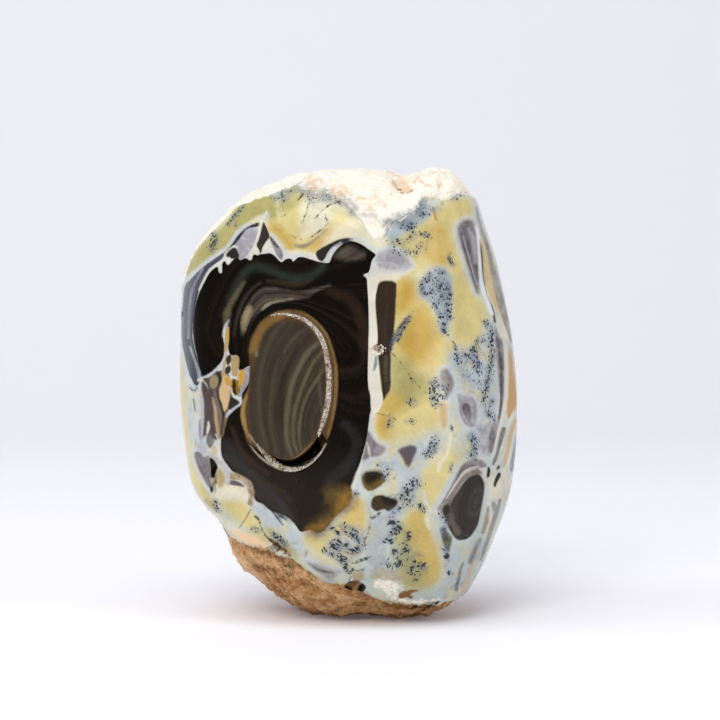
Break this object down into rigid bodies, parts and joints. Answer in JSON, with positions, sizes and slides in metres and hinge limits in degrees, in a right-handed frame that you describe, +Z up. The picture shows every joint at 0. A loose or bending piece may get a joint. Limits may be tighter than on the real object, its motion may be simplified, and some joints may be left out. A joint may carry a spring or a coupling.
{
  "type": "dendritic opal freeform",
  "caption": "Palm-sized upright freeform of dendritic opal with ground polished faces, a dark window with an oval eye, a chalky top skin and a small flat foot.",
  "frame": {"origin": "middle of the stone's box, on the surface that it stands on", "axes": "+Z up, -Y towards the big polished window with the eye, +X to the right seen from there"},
  "size_m": [0.0544, 0.0464, 0.0721],
  "materials": {
    "polished_opal": "polished opaque opal in yellow, cream, blue-grey and near-black brown, with matt chalky skin above and earthy matrix below",
    "druse": "sparkling crust of tiny pale crystals"
  },
  "bodies": {
    "root": {"stone": "polished_opal", "druse_crust": "druse"}
  },
  "joints": []
}
